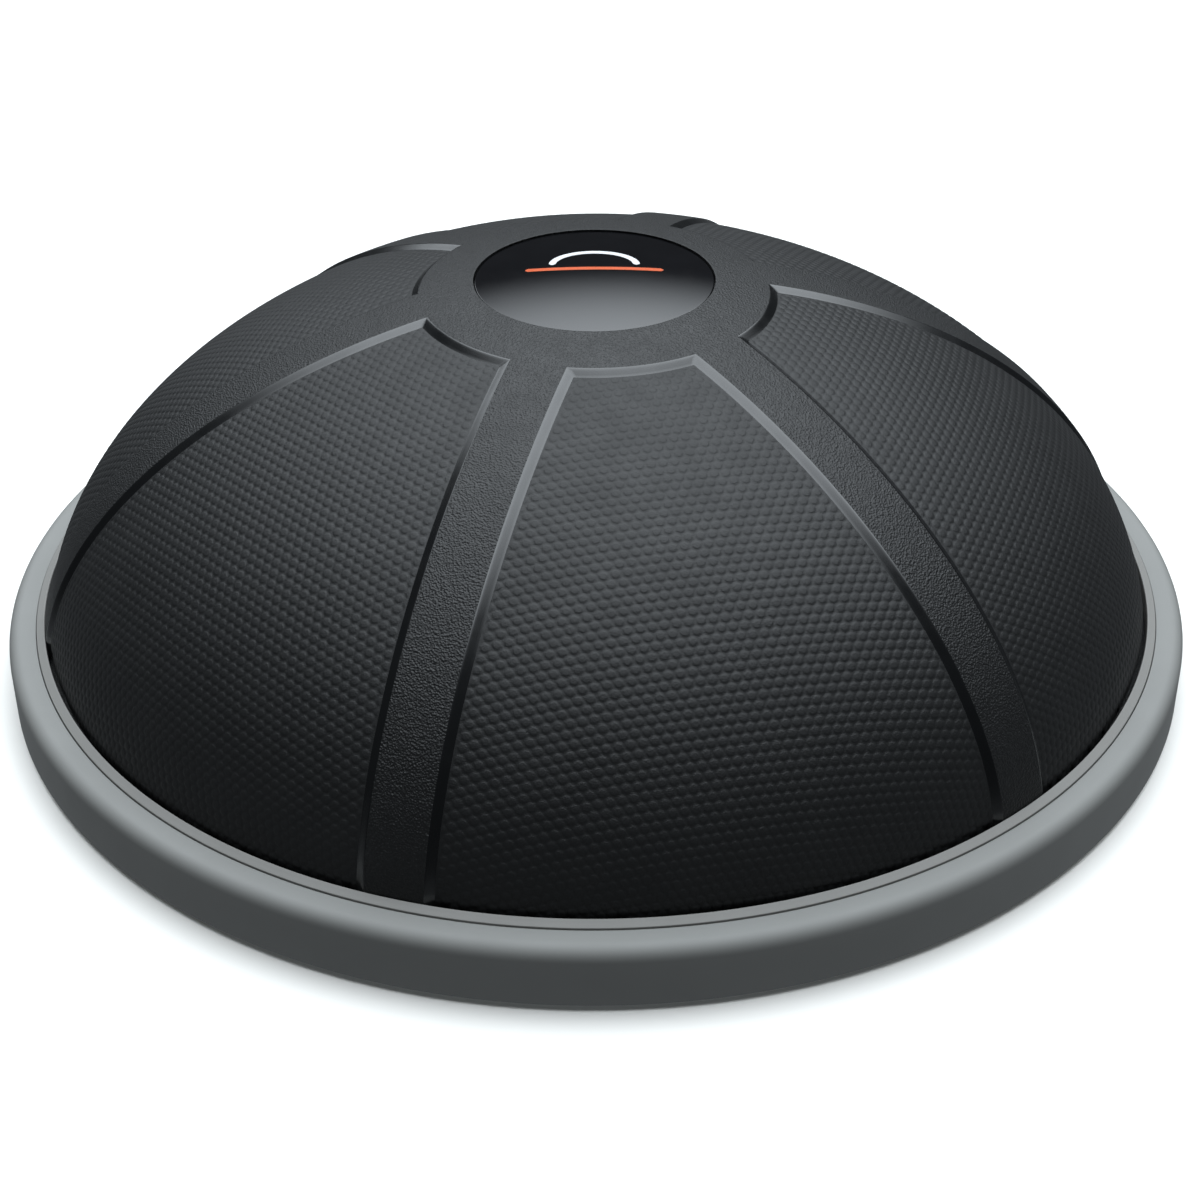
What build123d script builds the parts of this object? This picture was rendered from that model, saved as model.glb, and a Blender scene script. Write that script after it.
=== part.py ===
from build123d import *
import os
from math import cos, pi, radians, sin

os.makedirs("parts", exist_ok=True)

# Balance dome trainer: an inflated half ball, clamped by its foot bead on a round platform.
# Millimetres. Z is up from the surface that the rubber feet stand on, and -Y is the front.

# Platform
platform_radius = 295.0
rim_corner = 6.5            # rounding of the rim's outer top edge
wall = 3.0                  # rim wall, covers and flanges
underside = 3.0             # the flat bottom, lifted by the feet
ring_top = 35.0             # top of the clamp ring
ring_step = 2.7             # the rim's top lies this much below the clamp ring's crest
ring_fall = 2.0             # the clamp ring's top slopes down outwards by this much
rim_top = ring_top - ring_step

# Dome, from its foot at the clamp ring to the crown
dome_foot = 276.5
dome_reach = 278.8          # radius where the dome's curve would turn vertical
dome_rise = 184.0
dome_dip = 19.9             # that turning point lies this much below the clamp ring's top
dome_power = 1.78
dome_root = 1.95
skin = 3.5
strip_half_width = 13.6
crown_radius = 83.7
panel_depth = 2.0
panel_turn = 12.2           # a panel's centre lies this many degrees right of the front
panel_count = 6

# Badge and its seat
badge_radius = 56.9
badge_edge = 2.2
badge_crown = 3.4
badge_sink = 0.9            # the badge's edge lies this much below the seat's lip
seat_radius = 57.6
pad_radius = 54.0
pad_thickness = 0.8

# Clearances
slip = 0.1                  # round a piece that fits snugly
gap = 0.3                   # between mouldings

# Shared details
edge_rounding = 0.8
fine_rounding = 0.5
overlap = 0.5               # bosses and ribs run this far into the wall above them

# Heights inside the platform
cover_top = underside + wall
deck_top = 24.5
deck = 2.5
channel_floor = 19.5
membrane = 2.0
bead_bottom = channel_floor + membrane
bead_top = 25.5
bead_edge = 1.0             # thickness that the bead's inner edge loses to its slope
bead_root = 2.0             # the slope meets the dome's wall this much above the bead
flange_top = bead_top + wall

# Radii inside the platform
plateau_radius = 258.0
channel_inner = 264.0
slope_shift = 1.0           # shift between the two faces of a sheet, down the channel's slope
bead_inner = 266.0
bead_outer = 281.5
land_inner = 281.8
base_radius = 291.4
flange_radius = 290.6
flange_chamfer = 1.2
ring_outer = 281.1
ring_bore = dome_foot + 0.4

# Fasteners
screw_circle = 286.0
screw_count = 12
boss_radius = 3.0
pilot_radius = 1.5
pilot_depth = 14.0
thread_radius = 1.45
screw_length = 14.0
screw_tip = 1.5
head_radius = 3.1
head_height = 1.6
head_angle = 90
drive_length = 3.2
drive_width = 0.8
drive_depth = 0.9
cover_screw_circle = 150.0
cover_screw_count = 6
cover_screw_start = 30
cover_post_radius = 4.0
cover_pilot_depth = 12.0
ring_post_radius = 3.8

# Ribs of the base
rib_width = 2.5
rib_count = 12
outer_rib_start = 254.0
rib_circles = (205.0, 100.0)
hub_radius = 32.0
base_port_radius = 9.5

# Hand recesses
grip_centre = 233.0
grip_width = 40.0
grip_length = 114.0
grip_corner = 12.0
cup_wall = 1.6
liner_wall = 1.5
ridge_radius = 1.2
ridge_spacing = 7.5
ridge_count = 9
cup_top = deck_top - deck - gap

# Feet and the grooves between them
foot_circle = 262.0
foot_radius = 16.2
foot_count = 8
foot_bevel = 1.2
socket_depth = 1.5
stem_radius = 4.0
stem_bulb = 0.9             # the stem's end is this much wider than the stem
stem_length = 3.4           # above the cover
sole_grooves = (11.5, 8.0, 4.5)
sole_groove_width = 1.5
tread_width = 2.0
tread_pitch = 10
tread_start = 200
tread_end = 30
groove_depth = 0.8

# Valve
port_radius = 22.0
valve_radius = 8.0
valve_bore = 4.2
valve_bottom = 10.0
valve_flange_radius = 19.0
valve_flange_edge = 1.2
valve_collar_radius = 11.0
valve_collar = 3.0
plug_radius = 4.15
plug_length = 17.0
plug_tip = 1.5
plug_head_radius = 9.0
plug_head = 3.0
plug_bevel = 0.8
tab_length = 13.0
tab_width = 2.8
tab_height = 3.0
tab_corner = 1.1


def dome_height(radius, inset=0.0):
    """Height of the dome's outer surface, or of one that lies inset inside it."""
    fall = (radius / (dome_reach - inset)) ** dome_power
    return ring_top - dome_dip + (dome_rise - inset) * (1 - fall) ** (1 / dome_root)


def dome_points(start, end, inset=0.0, count=12):
    """Points down the dome's curve, from radius start to radius end, closer together at the foot."""
    share = [sin(pi / 2 * step / count) for step in range(count + 1)]
    radii = [start + (end - start) * part for part in share]
    return [(radius, dome_height(radius, inset)) for radius in radii]


seat_lip = dome_height(seat_radius)
badge_bottom = seat_lip - badge_sink - badge_edge
seat_floor = badge_bottom - pad_thickness
boss_angle = 180 / screw_count          # rim bosses lie half-way between the clamp screws

# ---- Dome ----

# The thin layer that the six recessed panels take away, cut to their outlines.
layer_start = (seat_radius + crown_radius) / 2
with BuildPart() as panel_layer:
    with BuildSketch(Plane.XZ):
        with BuildLine():
            outside = Spline(*dome_points(layer_start, dome_foot, inset=-1.0))
            inside = Spline(*dome_points(layer_start, dome_foot - panel_depth, inset=panel_depth))
            Line(outside @ 0, inside @ 0)
            Line(outside @ 1, inside @ 1)
        make_face()
    revolve(axis=Axis.Z)
    with BuildSketch(Plane.XY):
        wedge = 2 * dome_foot
        half = radians(180 / panel_count)
        apex = strip_half_width / sin(half)
        with PolarLocations(apex, panel_count, start_angle=panel_turn - 90):
            Polygon(
                (0, 0),
                (wedge * cos(half), -wedge * sin(half)),
                (wedge * cos(half), wedge * sin(half)),
                align=None,
            )
        Circle(crown_radius, mode=Mode.SUBTRACT)
    extrude(amount=2 * dome_rise, mode=Mode.INTERSECT)

# Moulded skin: badge seat on top, curved wall, and the bead that the clamp ring presses down.
with BuildPart() as dome_skin:
    with BuildSketch(Plane.XZ):
        with BuildLine():
            outer_curve = Spline(*dome_points(seat_radius, dome_foot))
            inner_foot = dome_foot - skin
            inner_curve = Spline(*dome_points(seat_radius + 2 * skin, inner_foot, inset=skin))
            Polyline((0, seat_floor), (seat_radius, seat_floor), outer_curve @ 0)
            Polyline(
                outer_curve @ 1,
                (dome_foot, bead_top),
                (bead_outer, bead_top),
                (bead_outer, bead_bottom),
                (bead_inner, bead_bottom),
                (bead_inner, bead_top - bead_edge),
                (inner_foot, bead_top + bead_root),
                inner_curve @ 1,
            )
            Polyline(
                inner_curve @ 0,
                (seat_radius + skin / 2, seat_floor - skin),
                (0, seat_floor - skin),
                (0, seat_floor),
            )
        make_face()
    revolve(axis=Axis.Z)
    add(panel_layer.part, mode=Mode.SUBTRACT)
dome_skin.part.label = "dome_skin"

# Flat sheet under the bead, raised over the deck and pierced for the valve.
with BuildPart() as dome_membrane:
    with BuildSketch(Plane.XZ):
        with BuildLine():
            Polyline(
                (valve_radius + gap, deck_top),
                (plateau_radius, deck_top),
                (channel_inner, channel_floor),
                (bead_outer, channel_floor),
                (bead_outer, bead_bottom),
                (channel_inner + slope_shift, bead_bottom),
                (plateau_radius + slope_shift, deck_top + membrane),
                (valve_radius + gap, deck_top + membrane),
                close=True,
            )
        make_face()
    revolve(axis=Axis.Z)
dome_membrane.part.label = "dome_membrane"

# ---- Badge ----

with BuildPart() as badge_pad:
    with BuildSketch(Plane.XY.offset(seat_floor)):
        Circle(pad_radius)
    extrude(amount=pad_thickness)
badge_pad.part.label = "badge_pad"

with BuildPart() as badge:
    with BuildSketch(Plane.XZ) as badge_section:
        edge_top = badge_bottom + badge_edge
        with BuildLine():
            TangentArc((0, edge_top + badge_crown), (badge_radius, edge_top), tangent=(1, 0))
            Polyline(
                (badge_radius, edge_top),
                (badge_radius, badge_bottom),
                (0, badge_bottom),
                (0, edge_top + badge_crown),
            )
        make_face()
        fillet(badge_section.vertices().group_by(Axis.X)[-1].sort_by(Axis.Y)[-1], fine_rounding)
    revolve(axis=Axis.Z)
badge.part.label = "badge"

# ---- Platform ----

# Inner ring: a raised, sloping lip round the dome's foot, and a flange over the bead and the base's land.
with BuildPart() as clamp_ring:
    with BuildSketch(Plane.XZ) as ring_section:
        with BuildLine():
            Polyline(
                (ring_bore, bead_top),
                (flange_radius, bead_top),
                (flange_radius, flange_top - flange_chamfer),
                (flange_radius - flange_chamfer, flange_top),
                (ring_outer, flange_top),
                (ring_outer, ring_top - ring_fall),
                (ring_bore, ring_top),
                close=True,
            )
        make_face()
        fillet(ring_section.vertices().sort_by(Axis.Y)[-2:], fine_rounding)
    revolve(axis=Axis.Z)
    with BuildSketch(Plane.XY.offset(bead_top)):
        with PolarLocations(screw_circle, screw_count, start_angle=boss_angle):
            Circle(boss_radius + gap)
    extrude(amount=wall, mode=Mode.SUBTRACT)
    with PolarLocations(screw_circle, screw_count):
        with Locations((0, 0, flange_top)):
            CounterSinkHole(thread_radius + slip, head_radius + slip, wall, head_angle)
clamp_ring.part.label = "clamp_ring"

# Outer ring: flat top, rounded edge, side wall and the bosses that take the rim screws.
with BuildPart() as platform_rim:
    with BuildSketch(Plane.XZ) as rim_section:
        bend = (platform_radius - rim_corner, rim_top - rim_corner)
        with BuildLine():
            Line((ring_outer + gap, rim_top), (bend[0], rim_top))
            CenterArc(bend, rim_corner, 0, 90)
            Polyline(
                (platform_radius, bend[1]),
                (platform_radius, underside),
                (platform_radius - wall, underside),
                (platform_radius - wall, bend[1]),
            )
            CenterArc(bend, rim_corner - wall, 0, 90)
            Polyline(
                (bend[0], rim_top - wall),
                (ring_outer + gap, rim_top - wall),
                (ring_outer + gap, rim_top),
            )
        make_face()
        fillet(rim_section.vertices().group_by(Axis.Y)[0], edge_rounding)
        fillet(rim_section.vertices().sort_by(Axis.X)[0:2].sort_by(Axis.Y)[-1], fine_rounding)
    revolve(axis=Axis.Z)
    boss_bottom = cover_top + gap
    boss_height = rim_top - wall - boss_bottom
    with BuildSketch(Plane.XY.offset(boss_bottom)):
        with PolarLocations(screw_circle, screw_count, start_angle=boss_angle):
            Circle(boss_radius)
    extrude(amount=boss_height + overlap)
    with BuildSketch(Plane.XY.offset(boss_bottom)):
        with PolarLocations(screw_circle, screw_count, start_angle=boss_angle):
            Circle(pilot_radius)
    extrude(amount=pilot_depth, mode=Mode.SUBTRACT)
platform_rim.part.label = "platform_rim"

# Structural moulding: raised deck, bead channel, land for the clamp ring, and ribs below.
with BuildPart() as platform_base:
    with BuildSketch(Plane.XZ):
        with BuildLine():
            Polyline(
                (base_port_radius, deck_top - deck),
                (base_port_radius, deck_top),
                (plateau_radius, deck_top),
                (channel_inner, channel_floor),
                (land_inner, channel_floor),
                (land_inner, bead_top),
                (base_radius, bead_top),
                (base_radius, channel_floor - deck),
                (channel_inner - slope_shift, channel_floor - deck),
                (plateau_radius - slope_shift, deck_top - deck),
                close=True,
            )
        make_face()
    revolve(axis=Axis.Z)
    rib_bottom = cover_top + gap
    inner_rib = plateau_radius - slope_shift - hub_radius
    outer_rib = screw_circle - outer_rib_start
    with BuildSketch(Plane.XY.offset(rib_bottom)):
        for rib_radius in (*rib_circles, hub_radius):
            Circle(rib_radius + rib_width)
            Circle(rib_radius, mode=Mode.SUBTRACT)
        with PolarLocations(hub_radius, rib_count):
            Rectangle(inner_rib, rib_width, align=(Align.MIN, Align.CENTER))
        with PolarLocations(cover_screw_circle, cover_screw_count, start_angle=cover_screw_start):
            Circle(cover_post_radius)
    extrude(amount=deck_top - deck - rib_bottom + overlap)
    with BuildSketch(Plane.XY.offset(rib_bottom)):
        Circle(base_radius)
        Circle(base_radius - rib_width, mode=Mode.SUBTRACT)
        with PolarLocations(outer_rib_start, rib_count):
            Rectangle(outer_rib, rib_width, align=(Align.MIN, Align.CENTER))
        with PolarLocations(screw_circle, screw_count):
            Circle(ring_post_radius)
    extrude(amount=channel_floor - deck - rib_bottom + overlap)
    # Room for the two hand cups, the rim's bosses and the screws
    with BuildSketch(Plane.XY.offset(rib_bottom)):
        with Locations((grip_centre, 0), (-grip_centre, 0)):
            RectangleRounded(grip_width + 2 * gap, grip_length + 2 * gap, grip_corner)
    extrude(amount=deck_top - deck - rib_bottom, mode=Mode.SUBTRACT)
    with BuildSketch(Plane.XY.offset(rib_bottom)):
        with PolarLocations(screw_circle, screw_count, start_angle=boss_angle):
            Circle(boss_radius + gap)
    extrude(amount=bead_top - rib_bottom, mode=Mode.SUBTRACT)
    with BuildSketch(Plane.XY.offset(bead_top)):
        with PolarLocations(screw_circle, screw_count):
            Circle(pilot_radius)
    extrude(amount=-pilot_depth, mode=Mode.SUBTRACT)
    with BuildSketch(Plane.XY.offset(rib_bottom)):
        with PolarLocations(cover_screw_circle, cover_screw_count, start_angle=cover_screw_start):
            Circle(pilot_radius)
    extrude(amount=cover_pilot_depth, mode=Mode.SUBTRACT)
platform_base.part.label = "platform_base"

# Flat underside, which is the standing face when the trainer is turned over.
with BuildPart() as bottom_cover:
    with BuildSketch(Plane.XY.offset(underside)):
        Circle(base_radius)
    extrude(amount=wall)
    with BuildSketch(Plane.XY.offset(underside)):
        with Locations((grip_centre, 0), (-grip_centre, 0)):
            RectangleRounded(grip_width, grip_length, grip_corner)
        Circle(port_radius + cup_wall)
    extrude(amount=cup_top - underside)
    # Hand cups and valve port, open from below
    with BuildSketch(Plane.XY.offset(underside)):
        with Locations((grip_centre, 0), (-grip_centre, 0)):
            RectangleRounded(
                grip_width - 2 * cup_wall, grip_length - 2 * cup_wall, grip_corner - cup_wall
            )
        Circle(port_radius)
    extrude(amount=cup_top - cup_wall - underside, mode=Mode.SUBTRACT)
    with BuildSketch(Plane.XY.offset(underside)):
        Circle(valve_radius + gap)
    extrude(amount=cup_top, mode=Mode.SUBTRACT)
    # Foot sockets and the holes for the feet's stems
    with BuildSketch(Plane.XY.offset(underside)):
        with PolarLocations(foot_circle, foot_count, start_angle=180 / foot_count):
            Circle(foot_radius + gap)
    extrude(amount=socket_depth, mode=Mode.SUBTRACT)
    with BuildSketch(Plane.XY.offset(underside)):
        with PolarLocations(foot_circle, foot_count, start_angle=180 / foot_count):
            Circle(stem_radius + slip)
    extrude(amount=wall, mode=Mode.SUBTRACT)
    # Countersunk screw holes
    with Locations(Plane(origin=(0, 0, underside), z_dir=(0, 0, -1), x_dir=(1, 0, 0))):
        with PolarLocations(screw_circle, screw_count, start_angle=boss_angle):
            CounterSinkHole(thread_radius + slip, head_radius + slip, wall, head_angle)
        with PolarLocations(cover_screw_circle, cover_screw_count, start_angle=cover_screw_start):
            CounterSinkHole(thread_radius + slip, head_radius + slip, wall, head_angle)
    # Grip grooves for bare feet
    with BuildSketch(Plane.XY.offset(underside)):
        for groove_radius in range(tread_start, tread_end, -tread_pitch):
            if groove_radius != cover_screw_circle:
                Circle(groove_radius + tread_width)
                Circle(groove_radius, mode=Mode.SUBTRACT)
    extrude(amount=groove_depth, mode=Mode.SUBTRACT)
bottom_cover.part.label = "bottom_cover"

# ---- Screws ----


def countersunk_screw(head_face):
    """A countersunk screw on the Z axis, head up, with a crossed drive recess."""
    with BuildPart() as screw:
        with BuildSketch(Plane.XZ):
            with BuildLine():
                Polyline(
                    (0, head_face),
                    (head_radius, head_face),
                    (thread_radius, head_face - head_height),
                    (thread_radius, head_face - screw_length + screw_tip),
                    (0, head_face - screw_length),
                    close=True,
                )
            make_face()
        revolve(axis=Axis.Z)
        with BuildSketch(Plane.XY.offset(head_face)):
            Rectangle(drive_length, drive_width)
            Rectangle(drive_width, drive_length)
        extrude(amount=-drive_depth, mode=Mode.SUBTRACT)
    return screw.part


clamp_screw = countersunk_screw(flange_top - slip)
upward_screw = countersunk_screw(-underside - slip).rotate(Axis.X, 180)

with BuildPart() as clamp_screws:
    with PolarLocations(screw_circle, screw_count):
        add(clamp_screw)
clamp_screws.part.label = "clamp_screws"

with BuildPart() as rim_screws:
    with PolarLocations(screw_circle, screw_count, start_angle=boss_angle):
        add(upward_screw)
rim_screws.part.label = "rim_screws"

with BuildPart() as cover_screws:
    with PolarLocations(cover_screw_circle, cover_screw_count, start_angle=cover_screw_start):
        add(upward_screw)
cover_screws.part.label = "cover_screws"

# ---- Hand recess liners ----


def grip_liner(side):
    """Soft cup inside a hand recess, with finger ridges on its outer wall; side is 1 or -1."""
    width = grip_width - 2 * (cup_wall + slip)
    length = grip_length - 2 * (cup_wall + slip)
    corner = grip_corner - cup_wall - slip
    bottom = underside + 2 * slip
    top = cup_top - cup_wall - slip
    inner_wall = grip_centre + width / 2 - liner_wall
    with BuildPart() as liner:
        with BuildSketch(Plane.XY.offset(bottom)):
            with Locations((side * grip_centre, 0)):
                RectangleRounded(width, length, corner)
                RectangleRounded(
                    width - 2 * liner_wall,
                    length - 2 * liner_wall,
                    corner - liner_wall,
                    mode=Mode.SUBTRACT,
                )
            with Locations((side * inner_wall, 0)):
                with GridLocations(0, ridge_spacing, 1, ridge_count):
                    Circle(ridge_radius)
        extrude(amount=top - bottom)
        with BuildSketch(Plane.XY.offset(top - liner_wall)):
            with Locations((side * grip_centre, 0)):
                RectangleRounded(width, length, corner)
        extrude(amount=liner_wall)
    return liner.part


liners = {"grip_liner_right": grip_liner(1), "grip_liner_left": grip_liner(-1)}
for name, liner in liners.items():
    liner.label = name

# ---- Feet ----


def rubber_foot(angle):
    """Round anti-slip foot with a grooved sole and a push-in stem."""
    reach = (cos(radians(angle)), sin(radians(angle)))
    centre = (foot_circle * reach[0], foot_circle * reach[1], 0)
    foot_plane = Plane(origin=centre, x_dir=(*reach, 0), z_dir=(reach[1], -reach[0], 0))
    shoulder = underside + socket_depth
    with BuildPart() as foot:
        with BuildSketch(foot_plane):
            with BuildLine():
                Polyline(
                    (0, 0),
                    (foot_radius - foot_bevel, 0),
                    (foot_radius, foot_bevel),
                    (foot_radius, shoulder),
                    (stem_radius, shoulder),
                    (stem_radius, cover_top + slip),
                    (stem_radius + stem_bulb, cover_top + slip + stem_bulb / 2),
                    (stem_radius + stem_bulb, cover_top + 2 * stem_bulb),
                    (stem_radius - stem_bulb, cover_top + stem_length),
                    (0, cover_top + stem_length),
                    close=True,
                )
            make_face()
        revolve(axis=Axis(centre, (0, 0, 1)))
        with BuildSketch(Plane(origin=centre)):
            for ring in sole_grooves:
                Circle(ring + sole_groove_width)
                Circle(ring, mode=Mode.SUBTRACT)
        extrude(amount=groove_depth, mode=Mode.SUBTRACT)
    return foot.part


feet = {f"foot_{n + 1}": rubber_foot(360 * (n + 0.5) / foot_count) for n in range(foot_count)}
for name, foot in feet.items():
    foot.label = name

# ---- Valve ----

with BuildPart() as valve_body:
    with BuildSketch(Plane.XZ):
        flange_bottom = deck_top + membrane
        with BuildLine():
            Polyline(
                (valve_bore, valve_bottom),
                (valve_radius, valve_bottom),
                (valve_radius, flange_bottom),
                (valve_flange_radius, flange_bottom),
                (valve_flange_radius, flange_bottom + valve_flange_edge),
                (valve_collar_radius, flange_bottom + valve_collar),
                (valve_bore, flange_bottom + valve_collar),
                close=True,
            )
        make_face()
    revolve(axis=Axis.Z)
valve_body.part.label = "valve_body"

# The plug pulls straight down out of the valve by its tab.
with BuildPart() as valve_plug:
    plug_top = valve_bottom + plug_length
    head_top = valve_bottom - gap
    head_bottom = head_top - plug_head
    with BuildSketch(Plane.XZ):
        with BuildLine():
            Polyline(
                (0, head_bottom),
                (plug_head_radius - plug_bevel, head_bottom),
                (plug_head_radius, head_bottom + plug_bevel),
                (plug_head_radius, head_top),
                (plug_radius, head_top),
                (plug_radius, plug_top - plug_tip),
                (plug_radius - plug_bevel, plug_top),
                (0, plug_top),
                close=True,
            )
        make_face()
    revolve(axis=Axis.Z)
    with BuildSketch(Plane.XY.offset(head_bottom - tab_height)):
        RectangleRounded(tab_length, tab_width, tab_corner)
    extrude(amount=tab_height + plug_bevel)
valve_plug.part.label = "valve_plug"

# ---- Files ----

export_step(dome_skin.part, "parts/dome_skin.step")
export_step(dome_membrane.part, "parts/dome_membrane.step")
export_step(badge.part, "parts/badge.step")
export_step(badge_pad.part, "parts/badge_pad.step")
export_step(clamp_ring.part, "parts/clamp_ring.step")
export_step(clamp_screws.part, "parts/clamp_screws.step")
export_step(platform_rim.part, "parts/platform_rim.step")
export_step(platform_base.part, "parts/platform_base.step")
export_step(bottom_cover.part, "parts/bottom_cover.step")
export_step(rim_screws.part, "parts/rim_screws.step")
export_step(cover_screws.part, "parts/cover_screws.step")
export_step(valve_body.part, "parts/valve_body.step")
export_step(valve_plug.part, "parts/valve_plug.step")
for name, piece in {**liners, **feet}.items():
    export_step(piece, f"parts/{name}.step")
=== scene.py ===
import math

import bmesh
import bpy
import numpy as np
from mathutils import Matrix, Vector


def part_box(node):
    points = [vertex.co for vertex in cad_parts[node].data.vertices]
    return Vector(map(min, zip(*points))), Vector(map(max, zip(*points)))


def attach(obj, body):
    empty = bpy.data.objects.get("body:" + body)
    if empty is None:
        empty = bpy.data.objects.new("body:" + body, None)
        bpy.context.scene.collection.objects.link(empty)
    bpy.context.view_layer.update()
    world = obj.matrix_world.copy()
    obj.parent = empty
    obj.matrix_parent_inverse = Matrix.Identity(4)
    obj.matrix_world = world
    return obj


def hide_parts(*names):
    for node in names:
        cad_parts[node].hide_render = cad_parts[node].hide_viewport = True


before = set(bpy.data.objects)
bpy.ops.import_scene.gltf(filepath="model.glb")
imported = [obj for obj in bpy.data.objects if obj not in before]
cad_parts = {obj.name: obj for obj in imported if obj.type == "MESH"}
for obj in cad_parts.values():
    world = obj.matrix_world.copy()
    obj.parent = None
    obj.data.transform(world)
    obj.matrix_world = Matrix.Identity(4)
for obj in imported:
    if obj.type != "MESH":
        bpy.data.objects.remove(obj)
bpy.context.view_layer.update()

# Balance dome trainer. Metres; Z is up and -Y is the front, as in the CAD model.
mm = 0.001

ring_low, ring_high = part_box("clamp_ring")
rim_low, rim_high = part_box("platform_rim")
badge_low, badge_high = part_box("badge")
skin_low, skin_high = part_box("dome_skin")

# Dome curve and panel layout
ring_step = 2.7 * mm              # the rim's top lies this much below the clamp ring's crest
ring_top = rim_high.z + ring_step
ring_fall = 2.0 * mm              # the clamp ring's top slopes down outwards by this much
dome_foot = 276.5 * mm
dome_reach = 278.8 * mm
dome_rise = 184.0 * mm
dome_dip = 19.9 * mm
dome_power = 1.78
dome_root = 1.95
skin = 3.5 * mm
seat_radius = 57.6 * mm
crown_radius = 83.7 * mm
strip_half_width = 13.6 * mm
panel_count = 6
panel_turn = math.radians(12.2)
half_sector = math.pi / panel_count
panel_depth = 2.0 * mm
chamfer_width = 4.0 * mm
chamfer_slope = panel_depth / chamfer_width
chamfer_lip = 0.35 * mm         # rounding where the chamfer leaves the skin
under_panel = 0.7 * mm          # the skin goes on this far below a panel's floor
slab = 0.9 * mm                 # thickness of a panel's own mesh
foot_drop = 9.0 * mm            # upright foot of the dome, behind the clamp ring
seat_lip = 0.5 * mm             # height of the rounding round the badge's seat
seat_lip_cut = 0.12 * mm        # the lip's corner is taken off by this much
bead_inner = 266.0 * mm
bead_edge = 1.0 * mm
bead_root = 2.0 * mm
chamfer_finish_reach = 1.4 * chamfer_width  # the smooth finish goes on this far inside a panel's outline

# Lines of the skin's mesh: distances from the seat's lip, the crown's circle and a panel's side line
seat_lines = np.array([0.0, 0.3, 1.0, 2.2, 4.5, 8, 12]) * mm
crown_lines = np.array([-9, -6.5, -3.5, -1.6, -0.7, -0.25, 0.1, 0.5, 1.2, 2.8, 4.5, 6.2]) * mm
side_lines = np.array([-13.6, -10, -6.5, -3.5, -1.6, -0.7, -0.25, 0.1, 0.5, 1.2, 2.8, 4.5, 6.2]) * mm
floor_lines = 14                # lines across half a panel's floor
outside_rows = 80               # rows from the crown down to the foot
inside_rows = 30                # rows of the skin's inner face

# Bumps: a hexagonal lattice, laid out flat and rolled on to the panel like a cone's surface
bump_pitch = 5.02 * mm
row_pitch = bump_pitch * math.sqrt(3) / 2
bump_radius = 2.05 * mm
bump_height = 0.2 * mm
bump_flatness = 7               # the higher, the flatter the bump's top
bump_fade = 1.3 * mm            # bumps die away over this distance from the chamfer
cone_share = 0.85               # flat angle for each unit of azimuth
cone_start = 14.0 * mm          # the cone's tip lies this far above the apex, along the skin


# ---- Mesh helpers ----


def mesh_object(name, points, faces, material, sharp=None):
    """A smooth-shaded piece from points and faces; edges above the angle sharp stay sharp."""
    mesh = bpy.data.meshes.new(name)
    mesh.from_pydata(np.asarray(points).tolist(), [], [list(face) for face in faces])
    mesh.validate()
    mesh.polygons.foreach_set("use_smooth", [True] * len(mesh.polygons))
    if sharp is not None:
        mesh.set_sharp_from_angle(angle=sharp)
    mesh.materials.append(material)
    piece = bpy.data.objects.new(name, mesh)
    bpy.context.scene.collection.objects.link(piece)
    return piece


def rounded(corners, steps=5):
    """Closed outline in (radius, height) from (radius, height, rounding) corners.

    A point stands beside each arc, so that the flat faces shade flat.
    """
    outline = []
    count = len(corners)
    for n, (r, z, rounding) in enumerate(corners):
        here = np.array([r, z])
        back = np.array(corners[n - 1][:2]) - here
        ahead = np.array(corners[(n + 1) % count][:2]) - here
        back_length, ahead_length = np.linalg.norm(back), np.linalg.norm(ahead)
        back, ahead = back / back_length, ahead / ahead_length
        half = math.acos(np.clip(back @ ahead, -1, 1)) / 2
        cut = rounding / math.tan(half)
        centre = here + (back + ahead) / np.linalg.norm(back + ahead) * rounding / math.sin(half)
        start, end = here + back * cut, here + ahead * cut
        first = math.atan2(*(start - centre)[::-1])
        sweep = (math.atan2(*(end - centre)[::-1]) - first + math.pi) % (2 * math.pi) - math.pi
        outline.append(start + back * min(cut, 0.3 * (back_length - cut)))
        for step in range(steps + 1):
            angle = first + sweep * step / steps
            outline.append(centre + rounding * np.array([math.cos(angle), math.sin(angle)]))
        outline.append(end + ahead * min(cut, 0.3 * (ahead_length - cut)))
    return outline


def lathed(outline, segments):
    """Points and faces of a ring: a closed outline of (radius, height) turned about the Z axis."""
    angles = np.linspace(0, 2 * math.pi, segments, endpoint=False)
    points = [(r * math.cos(a), r * math.sin(a), z) for a in angles for r, z in outline]
    count = len(outline)
    faces = []
    for n in range(segments):
        here, there = n * count, (n + 1) % segments * count
        for k in range(count):
            after = (k + 1) % count
            faces.append((here + k, there + k, there + after, here + after))
    return points, faces


def lathed_disc(outline, segments):
    """Like lathed, for an outline that starts and ends on the axis."""
    angles = np.linspace(0, 2 * math.pi, segments, endpoint=False)
    points = [(0, 0, outline[0][1]), (0, 0, outline[-1][1])]
    inner = outline[1:-1]
    points += [(r * math.cos(a), r * math.sin(a), z) for a in angles for r, z in inner]
    count = len(inner)
    faces = []
    for n in range(segments):
        here, there = 2 + n * count, 2 + (n + 1) % segments * count
        faces.append((0, there, here))
        for k in range(count - 1):
            faces.append((here + k, there + k, there + k + 1, here + k + 1))
        faces.append((1, here + count - 1, there + count - 1))
    return points, faces


def outward(piece):
    """Turns the faces of a closed piece outwards."""
    shape = bmesh.new()
    shape.from_mesh(piece.data)
    bmesh.ops.recalc_face_normals(shape, faces=shape.faces)
    shape.to_mesh(piece.data)
    shape.free()
    return piece


# ---- Materials ----


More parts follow.
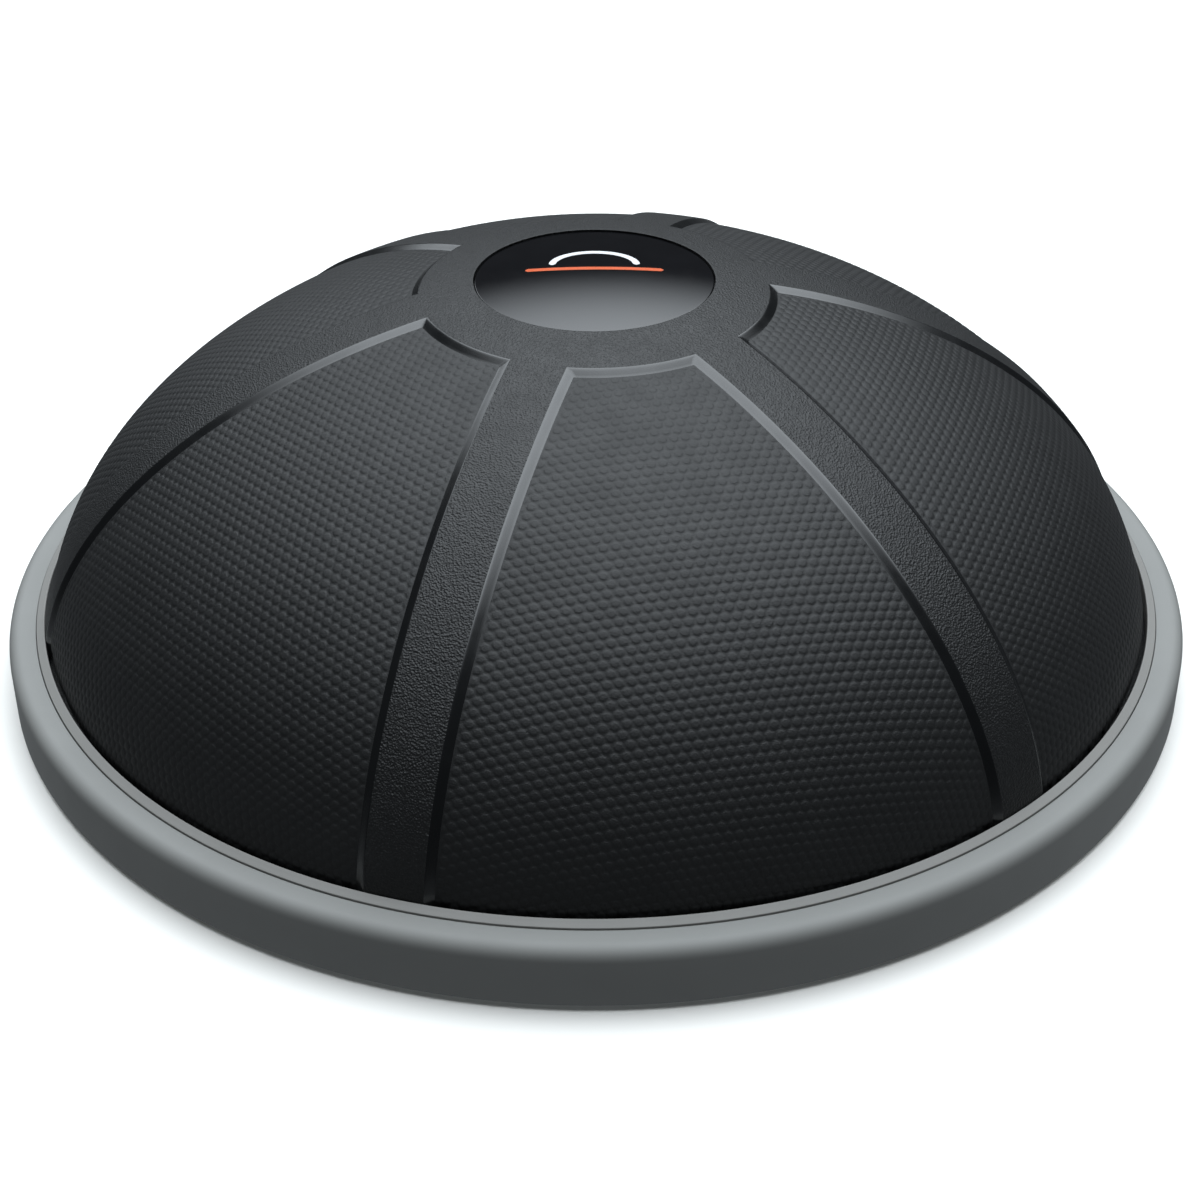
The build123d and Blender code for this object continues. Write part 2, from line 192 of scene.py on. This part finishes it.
class Surface:
    """A Principled material with its texture nodes in the row frame, in metres."""

    def __init__(self, name, colour, roughness, specular=0.5):
        self.material = bpy.data.materials.new(name)
        self.material.use_nodes = True
        self.tree = self.material.node_tree
        self.shader = self.tree.nodes["Principled BSDF"]
        self.shader.inputs["Base Color"].default_value = (*colour, 1)
        self.shader.inputs["Roughness"].default_value = roughness
        self.shader.inputs["Specular IOR Level"].default_value = specular
        self.place = self.tree.nodes.new("ShaderNodeTexCoord").outputs["Object"]
        self.colour = colour

    def noise(self, size, detail=2.0, distortion=0.0):
        node = self.tree.nodes.new("ShaderNodeTexNoise")
        node.inputs["Scale"].default_value = 1 / size
        node.inputs["Detail"].default_value = detail
        node.inputs["Distortion"].default_value = distortion
        self.tree.links.new(self.place, node.inputs["Vector"])
        return node.outputs["Fac"]

    def cells(self, size, smooth=0.6):
        node = self.tree.nodes.new("ShaderNodeTexVoronoi")
        node.feature = "SMOOTH_F1"
        node.inputs["Smoothness"].default_value = smooth
        node.inputs["Scale"].default_value = 1 / size
        self.tree.links.new(self.place, node.inputs["Vector"])
        return node.outputs["Distance"]

    def ramp(self, value, low, high, start=0.3, end=0.7):
        node = self.tree.nodes.new("ShaderNodeMapRange")
        node.inputs["From Min"].default_value = start
        node.inputs["From Max"].default_value = end
        node.inputs["To Min"].default_value = low
        node.inputs["To Max"].default_value = high
        self.tree.links.new(value, node.inputs["Value"])
        return node.outputs["Result"]

    def mottle(self, size, spread, detail=3.0):
        """Colour that varies by spread, up and down, in patches of that size."""
        node = self.tree.nodes.new("ShaderNodeMix")
        node.data_type = "RGBA"
        node.inputs["A"].default_value = (*[channel * (1 - spread) for channel in self.colour], 1)
        node.inputs["B"].default_value = (*[channel * (1 + spread) for channel in self.colour], 1)
        self.tree.links.new(self.ramp(self.noise(size, detail), 0, 1), node.inputs["Factor"])
        self.tree.links.new(node.outputs["Result"], self.shader.inputs["Base Color"])

    def clear_from_behind(self):
        """From behind, the surface can be seen through."""
        behind = self.tree.nodes.new("ShaderNodeNewGeometry").outputs["Backfacing"]
        clear = self.tree.nodes.new("ShaderNodeBsdfTransparent")
        choice = self.tree.nodes.new("ShaderNodeMixShader")
        self.tree.links.new(behind, choice.inputs["Fac"])
        self.tree.links.new(self.shader.outputs["BSDF"], choice.inputs[1])
        self.tree.links.new(clear.outputs["BSDF"], choice.inputs[2])
        self.tree.links.new(choice.outputs["Shader"], self.tree.nodes["Material Output"].inputs["Surface"])

    def gloss(self, size, low, high):
        """Roughness that varies from low to high in patches of that size."""
        self.tree.links.new(self.ramp(self.noise(size), low, high), self.shader.inputs["Roughness"])

    def relief(self, height, depth, strength=1.0):
        """Bump from a height value, depth metres from its lowest to its highest."""
        node = self.tree.nodes.new("ShaderNodeBump")
        node.inputs["Strength"].default_value = strength
        node.inputs["Distance"].default_value = depth
        self.tree.links.new(height, node.inputs["Height"])
        if self.shader.inputs["Normal"].is_linked:
            before = self.shader.inputs["Normal"].links[0].from_socket
            self.tree.links.new(before, node.inputs["Normal"])
        self.tree.links.new(node.outputs["Normal"], self.shader.inputs["Normal"])


def pvc_material(name, colour, roughness, specular, grain, grain_depth):
    """Charcoal PVC with a leather grain of that size."""
    surface = Surface(name, colour, roughness, specular)
    surface.mottle(35 * mm, 0.07)
    surface.gloss(12 * mm, roughness - 0.03, roughness + 0.03)
    surface.relief(surface.cells(grain), grain_depth, 0.7)
    surface.relief(surface.noise(grain * 2.5, 3.0, 0.6), grain_depth, 0.5)
    return surface.material


def moulded_plastic(name, colour, roughness, grain=0.5 * mm, grain_depth=0.03 * mm):
    """Matt moulded plastic with a fine spark-eroded texture."""
    surface = Surface(name, colour, roughness, 0.4)
    surface.mottle(60 * mm, 0.025)
    surface.gloss(20 * mm, roughness - 0.03, roughness + 0.03)
    surface.relief(surface.noise(grain, 3.0), grain_depth, 0.6)
    return surface.material


def rubber(name, colour, roughness):
    surface = Surface(name, colour, roughness, 0.35)
    surface.mottle(9 * mm, 0.12)
    surface.gloss(5 * mm, roughness - 0.05, roughness + 0.05)
    surface.relief(surface.noise(0.35 * mm, 3.0), 0.04 * mm, 0.6)
    return surface.material


def zinc_plate():
    surface = Surface("screw_zinc", (0.52, 0.52, 0.5), 0.35)
    surface.shader.inputs["Metallic"].default_value = 1.0
    surface.gloss(0.8 * mm, 0.28, 0.42)
    surface.relief(surface.noise(0.3 * mm, 2.0), 0.01 * mm, 0.4)
    return surface.material


def gloss_black():
    surface = Surface("badge_black", (0.006, 0.006, 0.007), 0.07)
    surface.mottle(15 * mm, 0.1)
    surface.gloss(8 * mm, 0.06, 0.09)
    surface.relief(surface.noise(9 * mm, 1.0), 0.02 * mm, 0.15)
    return surface.material


def print_ink(name, colour):
    surface = Surface(name, colour, 0.3)
    surface.mottle(2 * mm, 0.05)
    surface.gloss(1 * mm, 0.26, 0.34)
    return surface.material


skin_pvc = pvc_material("dome_skin_pvc", (0.009, 0.0093, 0.0096), 0.5, 0.39, 0.9 * mm, 0.55 * mm)
chamfer_pvc = pvc_material("dome_chamfer_pvc", (0.006, 0.0065, 0.007), 0.22, 0.75, 0.5 * mm, 0.002 * mm)
panel_pvc = pvc_material("dome_panel_pvc", (0.0115, 0.0118, 0.0121), 0.53, 0.35, 0.6 * mm, 0.12 * mm)
ring_plastic = moulded_plastic("ring_plastic", (0.235, 0.23, 0.218), 0.62)
rim_plastic = moulded_plastic("rim_plastic", (0.226, 0.228, 0.219), 0.62)
cover_plastic = moulded_plastic("cover_plastic", (0.26, 0.27, 0.275), 0.6)
base_plastic = moulded_plastic("base_plastic", (0.25, 0.26, 0.265), 0.6)
badge_black = gloss_black()
foot_rubber = rubber("foot_rubber", (0.03, 0.03, 0.031), 0.75)
grip_rubber = rubber("grip_rubber", (0.035, 0.036, 0.037), 0.7)
valve_rubber = rubber("valve_rubber", (0.028, 0.028, 0.029), 0.6)
plug_plastic = moulded_plastic("plug_plastic", (0.5, 0.51, 0.52), 0.45)
screw_zinc = zinc_plate()

# ---- Dome skin ----

curve_radius = np.linspace(0, dome_foot, 6000)
curve_fall = (curve_radius / dome_reach) ** dome_power
curve_height = ring_top - dome_dip + dome_rise * (1 - curve_fall) ** (1 / dome_root)
curve_step = np.hypot(np.diff(curve_radius), np.diff(curve_height))
curve_path = np.concatenate([[0], np.cumsum(curve_step)])
foot_path = curve_path[-1]
# The upright foot carries the curve on downwards.
curve_path = np.append(curve_path, foot_path + foot_drop)
curve_radius = np.append(curve_radius, dome_foot)
curve_height = np.append(curve_height, curve_height[-1] - foot_drop)
curve_lean = np.gradient(curve_radius, curve_path)
curve_fall_rate = -np.gradient(curve_height, curve_path)


def dome_point(path, azimuth, depth):
    """Points at a distance along the skin from the apex, at an azimuth from the front, below the surface."""
    lean = np.interp(path, curve_path, curve_lean)
    fall_rate = np.interp(path, curve_path, curve_fall_rate)
    radius = np.interp(path, curve_path, curve_radius) - depth * fall_rate
    height = np.interp(path, curve_path, curve_height) - depth * lean
    x, y, z = np.broadcast_arrays(radius * np.sin(azimuth), -radius * np.cos(azimuth), height)
    return np.stack([x, y, z], axis=-1)


def path_at(radius):
    return np.interp(radius, curve_radius[:-1], curve_path[:-1])


def skin_depth(offset):
    """Depth of the chamfer at a distance inside a panel's outline, rounded at its lip."""
    ramp = chamfer_slope * (offset + np.sqrt(offset**2 + chamfer_lip**2)) / 2
    return np.minimum(ramp, panel_depth + under_panel)


def side_offset(radius, turn):
    """Distance inside the side line of a panel, at a turn from its centre."""
    return radius * np.sin(half_sector - np.abs(turn)) - strip_half_width


def half_turns(radius):
    """Turns from a strip's centre to the panel's centre, with lines that follow the chamfer."""
    edge = half_sector - np.arcsin((strip_half_width + side_lines) / radius)
    inner = edge[-1] * (1 - np.arange(1, floor_lines + 1) / floor_lines)
    return np.concatenate([edge, inner])


def build_skin():
    """The moulded skin: crown, strips and chamfers, the floor under the panels, the bead and the inside."""
    radii = np.concatenate([seat_radius + seat_lines, crown_radius + crown_lines])
    rest = np.linspace(path_at(radii[-1]), foot_path, outside_rows)[1:]
    paths = np.concatenate([path_at(radii), rest, [foot_path + foot_drop]])
    sector = len(half_turns(seat_radius)) - 1
    columns = 2 * sector * panel_count

    def turn_row(radius):
        """Azimuths all the way round, and each one's turn from its panel's centre."""
        half = half_turns(max(radius, seat_radius))
        turns = np.concatenate([-half[:-1], half[::-1][:-1]])
        centres = panel_turn + 2 * half_sector * np.arange(panel_count)
        return (centres[:, None] + turns).ravel(), np.tile(turns, panel_count)

    rows = []
    offsets = {}
    seat_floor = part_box("badge_pad")[0].z
    azimuths, _ = turn_row(seat_radius)

    def flat_row(radius, height, azimuths):
        circle = np.stack([np.sin(azimuths) * radius, -np.cos(azimuths) * radius], axis=-1)
        rows.append(np.column_stack([circle, np.full(columns, height)]))

    for share in (0.4, 0.97, 1.0):
        flat_row(seat_radius * share, seat_floor, azimuths)
    lip_height = np.interp(seat_radius, curve_radius[:-1], curve_height[:-1])
    flat_row(seat_radius, lip_height - seat_lip, azimuths)
    for n, path in enumerate(paths):
        radius = np.interp(path, curve_path, curve_radius)
        azimuths, turns = turn_row(radius)
        offset = np.minimum(side_offset(radius, turns), radius - crown_radius)
        depth = skin_depth(offset)
        offsets[len(rows)] = offset
        if n == 0:
            depth = depth + seat_lip_cut
        rows.append(dome_point(path, azimuths, depth))
    # Bead, held down by the clamp ring
    bead_top, bead_bottom = ring_low.z, skin_low.z
    bead_outer = skin_high.x
    inner_foot = dome_foot - skin
    for radius, height in (
        (dome_foot, bead_top),
        (bead_outer, bead_top),
        (bead_outer, bead_bottom),
        (bead_inner, bead_bottom),
        (bead_inner, bead_top - bead_edge),
        (inner_foot, bead_top + bead_root),
    ):
        flat_row(radius, height, azimuths)
    for path in np.linspace(foot_path, path_at(seat_radius + 2 * skin), inside_rows):
        rows.append(dome_point(path, azimuths, skin))
    flat_row(seat_radius + skin / 2, seat_floor - skin, azimuths)
    flat_row(seat_radius / 2, seat_floor - skin, azimuths)

    points = np.concatenate([[(0, 0, seat_floor), (0, 0, seat_floor - skin)], *rows])
    faces, bevelled = [], []
    for row in range(len(rows) - 1):
        here, there = 2 + row * columns, 2 + (row + 1) * columns
        both = row in offsets and row + 1 in offsets
        for column in range(columns):
            after = (column + 1) % columns
            corners = [offsets[n][m] for n in (row, row + 1) for m in (column, after)] if both else [-1]
            bevelled += [-chamfer_lip < sum(corners) / len(corners) < chamfer_finish_reach] * 2
            a, b, c, d = here + column, here + after, there + after, there + column
            left_half = column % (2 * sector) < sector
            if left_half:
                faces += [(a, c, b), (a, d, c)]
            else:
                faces += [(a, d, b), (b, d, c)]
    last = 2 + (len(rows) - 1) * columns
    for column in range(columns):
        after = (column + 1) % columns
        faces.append((0, 2 + column, 2 + after))
        faces.append((1, last + after, last + column))
    moulding = mesh_object("dome_moulding", points, faces, skin_pvc, math.radians(50))
    moulding.data.materials.append(chamfer_pvc)
    indices = np.zeros(len(moulding.data.polygons), int)
    indices[: len(bevelled)] = bevelled
    moulding.data.polygons.foreach_set("material_index", indices)
    return moulding


dome_moulding = outward(build_skin())
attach(dome_moulding, "trainer")

# ---- Bumped panels ----


def flat_to_panel(flat):
    """Path along the skin and turn from the panel's centre, for points of the flat lattice."""
    reach = np.hypot(flat[..., 0], flat[..., 1])
    turn = np.arctan2(flat[..., 0], flat[..., 1]) / cone_share
    return reach - cone_start, turn


def inside_chamfer(path, turn):
    """Distance inside the chamfer's lower edge."""
    radius = np.interp(path, curve_path, curve_radius)
    return np.minimum(side_offset(radius, turn), radius - crown_radius) - chamfer_width


def bump_cell():
    """One bump and its hexagonal cell: points from the cell's centre, with bump heights, and triangles."""
    rings = [(6, 0.6), (12, 0.86), (12, 1.0)]
    points, heights = [(0.0, 0.0)], [1.0]
    for count, share in rings:
        for n in range(count):
            angle = math.radians(90 + 360 * n / count)
            points.append((share * bump_radius * math.cos(angle), share * bump_radius * math.sin(angle)))
            heights.append(1 - share**bump_flatness)
    corner = row_pitch * 2 / 3
    for n in range(6):
        angle = math.radians(90 + 60 * n)
        points.append((corner * math.cos(angle), corner * math.sin(angle)))
        heights.append(0.0)
    triangles = []
    first, second, third, outer = 1, 7, 19, 31
    for n in range(6):
        after = (n + 1) % 6
        a, b, c = second + 2 * n, second + 2 * n + 1, second + 2 * after
        triangles += [
            (0, first + n, first + after),
            (first + n, a, b),
            (first + n, b, first + after),
            (first + after, b, c),
        ]
        a, b, c = third + 2 * n, third + 2 * n + 1, third + 2 * after
        triangles += [
            (outer + n, b, a),
            (outer + n, outer + after, b),
            (outer + after, c, b),
        ]
    for n in range(12):
        after = (n + 1) % 12
        triangles += [
            (second + n, third + n, third + after),
            (second + n, third + after, second + after),
        ]
    return np.array(points), np.array(heights), np.array(triangles)


def panel_cells():
    """Centres of the lattice cells that a panel shows, with a margin that the chamfers hide."""
    widest = int(dome_foot / bump_pitch)
    rows = int((foot_path + cone_start) / row_pitch) + 3
    centres = []
    for row in range(rows):
        shift = 0.5 * (row % 2)
        for column in range(-widest, widest + 1):
            centres.append(((column + shift) * bump_pitch, row * row_pitch))
    centres = np.array(centres)
    path, turn = flat_to_panel(centres)
    cell_reach = 3.0 * mm
    shown = (path > 0) & (path < foot_path + foot_drop / 2) & (np.abs(turn) < half_sector)
    path, turn = np.clip(path, 0, foot_path), np.clip(turn, -half_sector, half_sector)
    return centres[shown & (inside_chamfer(path, turn) > -cell_reach)]


def panel_shape():
    """Flat points, bump heights and faces of one panel's slab: bumped on top, plain below, closed."""
    cell_points, cell_heights, cell_triangles = bump_cell()
    centres = panel_cells()
    flat = centres[:, None] + cell_points
    count = len(cell_points)
    triangles = (np.arange(len(centres))[:, None, None] * count + cell_triangles).reshape(-1, 3)
    corners = np.arange(count - 6, count)
    keys = np.round(flat.reshape(-1, 2) / (0.01 * mm)).astype(int)
    _, first, merged = np.unique(keys, axis=0, return_index=True, return_inverse=True)
    merged = merged.ravel()
    top_faces = merged[triangles]
    flat_points = flat.reshape(-1, 2)[first]
    heights = np.tile(cell_heights, len(centres))[first]
    # The underside has only the cells' corners and centres.
    ring = merged[np.arange(len(centres))[:, None] * count + corners]
    below, numbers = np.unique(ring, return_inverse=True)
    numbers = numbers.reshape(ring.shape) + len(flat_points)
    middles = len(flat_points) + len(below) + np.arange(len(centres))
    after = np.roll(numbers, -1, axis=1)
    fans = np.stack([np.broadcast_to(middles[:, None], ring.shape), after, numbers], axis=-1)
    # Walls stand under the edges that belong to one cell only.
    ring_after = np.roll(ring, -1, axis=1)
    edges = np.stack([ring.ravel(), ring_after.ravel(), numbers.ravel(), after.ravel()], axis=-1)
    sides = np.sort(edges[:, :2], axis=1)
    _, place, uses = np.unique(sides, axis=0, return_inverse=True, return_counts=True)
    rim = edges[uses[place.ravel()] == 1]
    walls = np.concatenate([rim[:, [1, 0, 2]], rim[:, [1, 2, 3]]])
    every_flat = np.concatenate([flat_points, flat_points[below], centres])
    faces = np.concatenate([top_faces, fans.reshape(-1, 3), walls])
    return every_flat, heights, faces, len(flat_points)


def build_panel(number, shape):
    every_flat, heights, faces, top_count = shape
    path, turn = flat_to_panel(every_flat)
    fade = np.clip(inside_chamfer(path[:top_count], turn[:top_count]) / bump_fade, 0, 1)
    fade = fade * fade * (3 - 2 * fade)
    depth = np.full(len(every_flat), panel_depth + slab)
    depth[:top_count] = panel_depth - bump_height * heights * fade
    azimuth = panel_turn + 2 * half_sector * number + turn
    return mesh_object(f"dome_panel_{number + 1}", dome_point(path, azimuth, depth), faces, panel_pvc)


one_panel = panel_shape()
for number in range(panel_count):
    panel = outward(build_panel(number, one_panel))
    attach(panel, "trainer")
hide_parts("dome_skin")

# ---- Platform rings ----

rim_corner = 6.5 * mm
wall = 3 * mm
lathe_steps = 360
dome_gap = 0.4 * mm


def build_clamp_ring():
    bore = dome_foot + dome_gap
    lip_outer = 281.1 * mm
    flange_radius = ring_high.x
    flange_top = ring_low.z + wall
    outline = rounded([
        (bore, ring_low.z, 0.2 * mm),
        (flange_radius, ring_low.z, 0.2 * mm),
        (flange_radius, flange_top, 0.8 * mm),
        (lip_outer, flange_top, 0.2 * mm),
        (lip_outer, ring_top - ring_fall, 0.4 * mm),
        (bore, ring_top, 0.5 * mm),
    ])
    points, faces = lathed(outline, lathe_steps)
    return mesh_object("inner_ring", points, faces, ring_plastic)


def build_rim():
    inner = 281.4 * mm
    outer = rim_high.x
    outline = rounded([
        (inner, rim_high.z, 0.4 * mm),
        (outer, rim_high.z, rim_corner),
        (outer, rim_low.z, 0.8 * mm),
        (outer - wall, rim_low.z, 0.4 * mm),
        (outer - wall, rim_high.z - wall, rim_corner - wall),
        (inner, rim_high.z - wall, 0.3 * mm),
    ], 9)
    points, faces = lathed(outline, lathe_steps)
    return mesh_object("outer_ring", points, faces, rim_plastic)


inner_ring = outward(build_clamp_ring())
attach(inner_ring, "trainer")
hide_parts("clamp_ring")
outer_ring = outward(build_rim())
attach(outer_ring, "trainer")
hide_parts("platform_rim")

# ---- Badge ----

badge_radius = badge_high.x
badge_edge = 2.2 * mm
badge_crown = badge_high.z - badge_low.z - badge_edge
badge_rounding = 0.5 * mm
badge_steps = 256


def badge_height(radius):
    """Height of the badge's domed face."""
    return badge_high.z - badge_crown * (radius / badge_radius) ** 2


def build_badge():
    radii = np.linspace(0, badge_radius - badge_rounding, 25)
    outline = [(r, badge_height(r)) for r in radii]
    edge = badge_height(radii[-1])
    for step in range(1, 7):
        angle = math.pi / 2 * step / 6
        outline.append((
            radii[-1] + badge_rounding * math.sin(angle),
            edge - badge_rounding * (1 - math.cos(angle)),
        ))
    outline.append((badge_radius, badge_low.z + badge_rounding / 2))
    outline.append((badge_radius - badge_rounding / 2, badge_low.z))
    outline += [(badge_radius / 2, badge_low.z), (0, badge_low.z)]
    points, faces = lathed_disc(outline, badge_steps)
    return mesh_object("badge_disc", points, faces, badge_black, math.radians(60))


badge_disc = outward(build_badge())
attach(badge_disc, "trainer")
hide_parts("badge")


def printed_band(name, line, half_width, ink):
    """Thin raised print along a line of (x, y) on the badge's face, with round ends."""
    line = np.array(line)
    along = np.gradient(line, axis=0)
    along /= np.linalg.norm(along, axis=1)[:, None]
    across = np.column_stack([-along[:, 1], along[:, 0]])
    travel = np.concatenate([[0], np.cumsum(np.linalg.norm(np.diff(line, axis=0), axis=1))])
    from_end = np.minimum(np.minimum(travel, travel[-1] - travel) / half_width, 1)
    widths = half_width * np.sqrt(np.maximum(1 - (1 - from_end) ** 2, 0.02))
    shares = np.array([-1, -0.5, 0, 0.5, 1])
    flat = line[:, None] + across[:, None] * (widths[:, None] * shares)[..., None]
    height = badge_height(np.hypot(flat[..., 0], flat[..., 1]))
    top = np.dstack([flat, height + print_thickness])
    bottom = np.dstack([flat, height - print_thickness])[:, ::-1]
    loop = np.concatenate([top, bottom], axis=1)
    steps, count = loop.shape[:2]
    faces = [tuple(range(count)), tuple(range((steps - 1) * count, steps * count))]
    for n in range(steps - 1):
        for k in range(count):
            after = (k + 1) % count
            faces.append((n * count + k, n * count + after, (n + 1) * count + after, (n + 1) * count + k))
    band = outward(mesh_object(name, loop.reshape(-1, 3), faces, ink, math.radians(40)))
    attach(band, "trainer")


# A generic pictogram of a half ball on its platform
print_thickness = 0.12 * mm
mark_base = 5.5 * mm            # the bar's height on the badge's face, from its middle
mark_radius = 15 * mm
mark_stretch = 1.35             # the half ball's width against its height
mark_gap = 5 * mm               # from the bar to the half ball
mark_reach = 33 * mm            # half the bar's length
mark_points = 61
dome_half_width = 1.7 * mm
bar_half_width = 1.6 * mm
bend = np.linspace(0, math.pi, 49)
dome_across = mark_radius * mark_stretch * np.cos(bend)
dome_up = mark_base + mark_gap + mark_radius * np.sin(bend)
dome_line = np.column_stack([dome_across, dome_up])
bar_across = np.linspace(-mark_reach, mark_reach, mark_points)
bar_line = np.column_stack([bar_across, np.full(mark_points, mark_base)])
off_white = print_ink("print_off_white", (0.78, 0.79, 0.8))
orange = print_ink("print_orange", (0.62, 0.1, 0.025))
printed_band("badge_print_dome", dome_line, dome_half_width, off_white)
printed_band("badge_print_bar", bar_line, bar_half_width, orange)

# ---- Finishes of the CAD pieces that stay ----

kept = {
    "bottom_cover": cover_plastic,
    "platform_base": base_plastic,
    "dome_membrane": skin_pvc,
    "badge_pad": foot_rubber,
    "clamp_screws": screw_zinc,
    "rim_screws": screw_zinc,
    "cover_screws": screw_zinc,
    "grip_liner_left": grip_rubber,
    "grip_liner_right": grip_rubber,
    "valve_body": valve_rubber,
    "valve_plug": plug_plastic,
}
for name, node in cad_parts.items():
    if name in kept or name.startswith("foot_"):
        finish = kept.get(name, foot_rubber)
        for slot in node.material_slots:
            slot.link = "OBJECT"
            slot.material = finish

# ---- Backdrop, light and camera ----


floor_radius = 3.0
wall_bend = 1.5                 # radius of the curve from the floor to the wall
wall_top = 4.0
backdrop_steps = 96


def build_backdrop():
    """A pale floor that curves up into a wall all round. It shows shadows, but sends no light back."""
    arc = [math.pi / 2 * step / 16 for step in range(17)]
    outline = [(0.5, 0), (1.0, 0), (2.0, 0)]
    outline += [(floor_radius + wall_bend * math.sin(a), wall_bend * (1 - math.cos(a))) for a in arc]
    outline.append((floor_radius + wall_bend, wall_top))
    angles = np.linspace(0, 2 * math.pi, backdrop_steps, endpoint=False)
    points = [(0, 0, 0)] + [(r * math.cos(a), r * math.sin(a), z) for a in angles for r, z in outline]
    rows = len(outline)
    faces = []
    for n in range(backdrop_steps):
        here, there = 1 + n * rows, 1 + (n + 1) % backdrop_steps * rows
        faces.append((0, here, there))
        faces += [(here + k, here + k + 1, there + k + 1, there + k) for k in range(rows - 1)]
    paint = Surface("backdrop_paint", (0.95, 0.93, 0.89), 0.9, 0.1)
    paint.mottle(0.4, 0.01)
    paint.clear_from_behind()
    backdrop = mesh_object("backdrop", points, faces, paint.material)
    backdrop.visible_diffuse = False
    backdrop.visible_glossy = False
    backdrop.visible_shadow = False
    return backdrop


build_backdrop()


def softbox_lobe(tree, azimuth, elevation, inner, outer, radiance):
    """Soft-edged light in the sky round a direction; azimuth is from the front to the right, in degrees."""
    az, el = math.radians(azimuth), math.radians(elevation)
    direction = (math.sin(az) * math.cos(el), -math.cos(az) * math.cos(el), math.sin(el))
    place = tree.nodes.new("ShaderNodeTexCoord").outputs["Generated"]
    along = tree.nodes.new("ShaderNodeVectorMath")
    along.operation = "DOT_PRODUCT"
    along.inputs[1].default_value = direction
    tree.links.new(place, along.inputs[0])
    edge = tree.nodes.new("ShaderNodeMapRange")
    edge.interpolation_type = "SMOOTHSTEP"
    edge.inputs["From Min"].default_value = math.cos(math.radians(outer))
    edge.inputs["From Max"].default_value = math.cos(math.radians(inner))
    edge.inputs["To Max"].default_value = radiance
    tree.links.new(along.outputs["Value"], edge.inputs["Value"])
    return edge.outputs["Result"]


def build_sky():
    """Studio light as a soft sky: (azimuth, elevation, inner and outer angle, radiance) of each softbox."""
    lobes = [
        (166, 72, 24, 50, 4.2),
        (209, 25, 5, 15, 2.2),
        (0, -90, 45, 88, 0.42),
    ]
    fill = 0.025                # light that comes from everywhere
    world = bpy.data.worlds.new("studio")
    bpy.context.scene.world = world
    world.use_nodes = True
    tree = world.node_tree
    total = None
    for lobe in lobes:
        add = tree.nodes.new("ShaderNodeMath")
        tree.links.new(softbox_lobe(tree, *lobe), add.inputs[0])
        if total is None:
            add.inputs[1].default_value = fill
        else:
            tree.links.new(total, add.inputs[1])
        total = add.outputs["Value"]
    background = tree.nodes["Background"]
    background.inputs["Color"].default_value = (0.93, 1, 1.06, 1)
    tree.links.new(total, background.inputs["Strength"])


build_sky()
bpy.context.scene.view_settings.view_transform = "Standard"

camera_distance = 1.1454            # from the middle of the clamp ring's top
camera_elevation = math.radians(31.68)
camera_dip = math.radians(0.98)     # the view's centre lies this much below that point
camera_yaw = math.radians(0.06)
camera_roll = math.radians(-0.26)
view_data = bpy.data.cameras.new("view")
view_data.sensor_width = 36
view_data.lens = 66.99
view_data.shift_x = 0.0017
camera = bpy.data.objects.new("view", view_data)
bpy.context.scene.collection.objects.link(camera)
camera.location = (
    0,
    -camera_distance * math.cos(camera_elevation),
    ring_top + camera_distance * math.sin(camera_elevation),
)
tilt = Matrix.Rotation(math.pi / 2 - camera_elevation - camera_dip, 3, "X")
turn = Matrix.Rotation(-camera_yaw, 3, "Z")
roll = Matrix.Rotation(camera_roll, 3, "Z")
camera.rotation_euler = (turn @ tilt @ roll).to_euler()
bpy.context.scene.camera = camera
